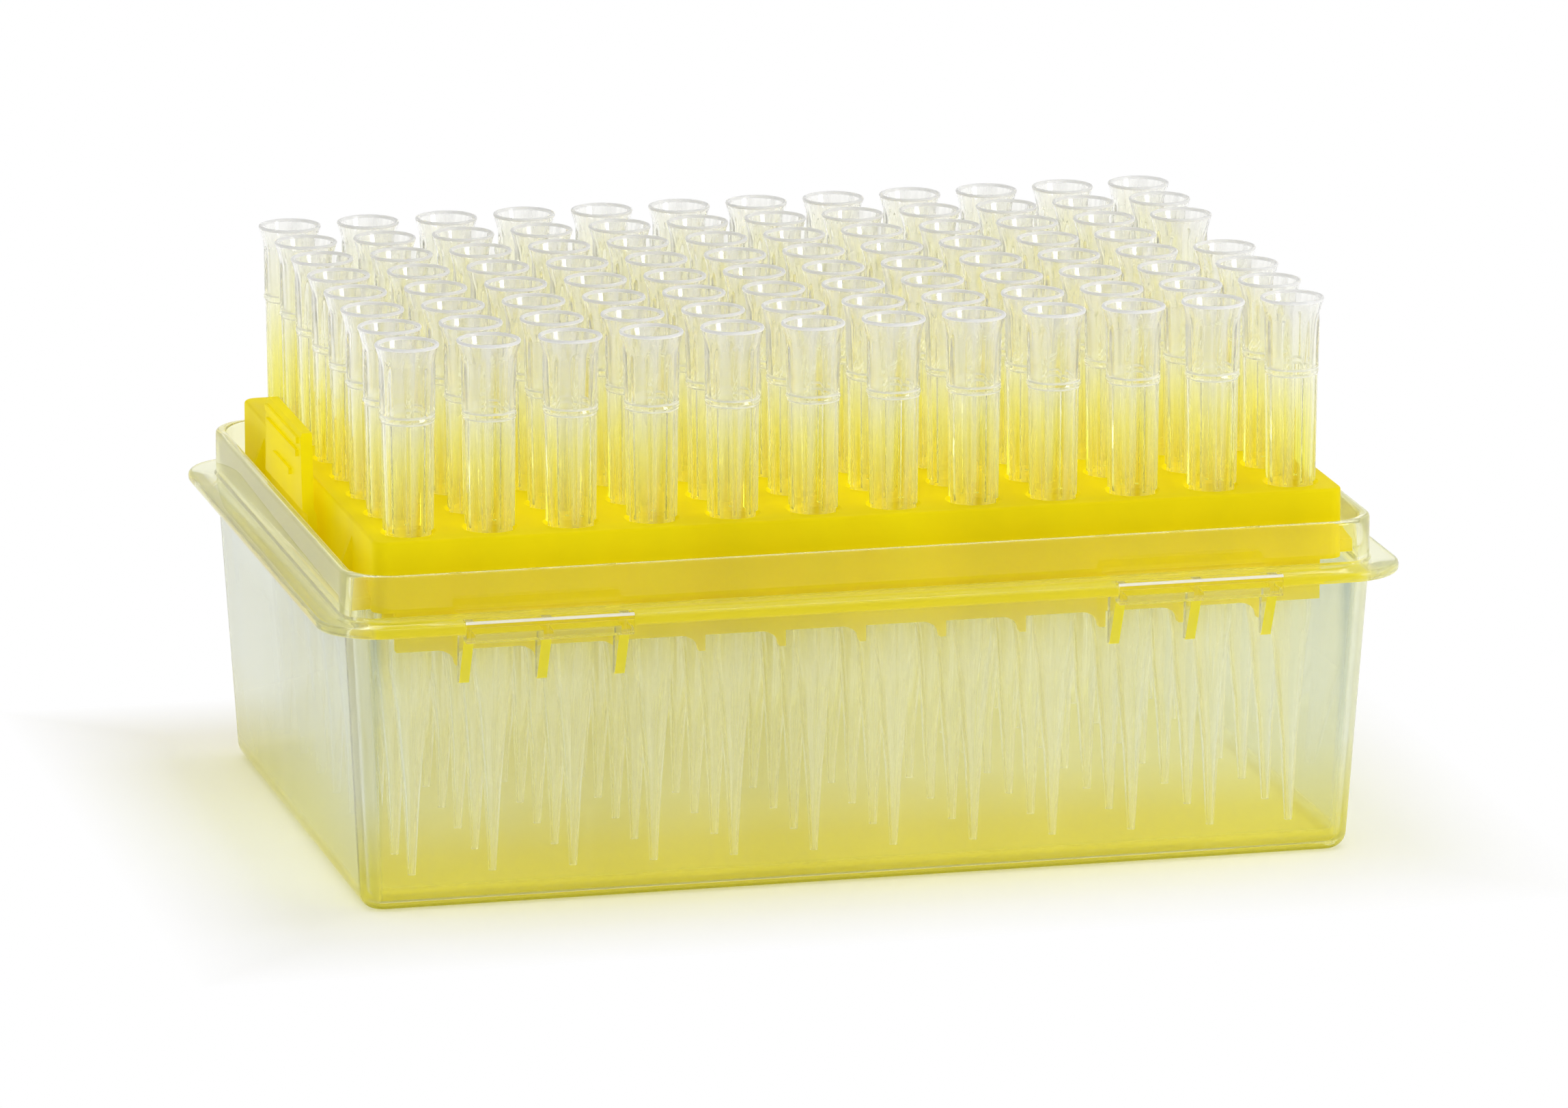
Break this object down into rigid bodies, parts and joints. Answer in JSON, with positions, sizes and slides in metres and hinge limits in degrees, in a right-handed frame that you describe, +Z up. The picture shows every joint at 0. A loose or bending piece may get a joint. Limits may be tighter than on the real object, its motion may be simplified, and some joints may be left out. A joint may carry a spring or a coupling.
{
  "type": "pipette tip box",
  "caption": "Open clear tray with flanged rim holding a yellow rack of clear flared pipette tips that stand upright above it, one seat left empty.",
  "frame": {"origin": "centre of the tray's underside, on the surface that the box stands on", "axes": "+X along the long side, towards the column with the empty seat; +Y across the box, towards row A; +Z up, towards the tips' mouths"},
  "size_m": [0.1212, 0.0854, 0.0621],
  "materials": {
    "tray": "clear polypropylene with a faint haze, taking a yellow tint from the rack",
    "rack": "translucent deep yellow, semi-gloss moulded surface",
    "tips": "clear natural polypropylene, glossy with a faint haze"
  },
  "bodies": {
    "root": {"base_tray": "tray", "tip_rack": "rack", "tip_H01": "tips", "tip_H12": "tips", "tip_G01": "tips", "tip_G12": "tips", "tip_F01": "tips", "tip_F12": "tips", "tip_E01": "tips", "tip_E12": "tips", "tip_D01": "tips", "tip_C01": "tips", "tip_C12": "tips", "tip_B01": "tips", "tip_B12": "tips", "tip_A01": "tips", "tip_A12": "tips", "tips_H02_H03": "tips", "tips_H04_H05": "tips", "tips_H06_H07": "tips", "tips_H08_H09": "tips", "tips_H10_H11": "tips", "tips_G02_G03": "tips", "tips_G04_G05": "tips", "tips_G06_G07": "tips", "tips_G08_G09": "tips", "tips_G10_G11": "tips", "tips_F02_F03": "tips", "tips_F04_F05": "tips", "tips_F06_F07": "tips", "tips_F08_F09": "tips", "tips_F10_F11": "tips", "tips_E02_E03": "tips", "tips_E04_E05": "tips", "tips_E06_E07": "tips", "tips_E08_E09": "tips", "tips_E10_E11": "tips", "tips_D02_D03": "tips", "tips_D04_D05": "tips", "tips_D06_D07": "tips", "tips_D08_D09": "tips", "tips_D10_D11": "tips", "tips_C02_C03": "tips", "tips_C04_C05": "tips", "tips_C06_C07": "tips", "tips_C08_C09": "tips", "tips_C10_C11": "tips", "tips_B02_B03": "tips", "tips_B04_B05": "tips", "tips_B06_B07": "tips", "tips_B08_B09": "tips", "tips_B10_B11": "tips", "tips_A02_A03": "tips", "tips_A04_A05": "tips", "tips_A06_A07": "tips", "tips_A08_A09": "tips", "tips_A10_A11": "tips"}
  },
  "joints": []
}
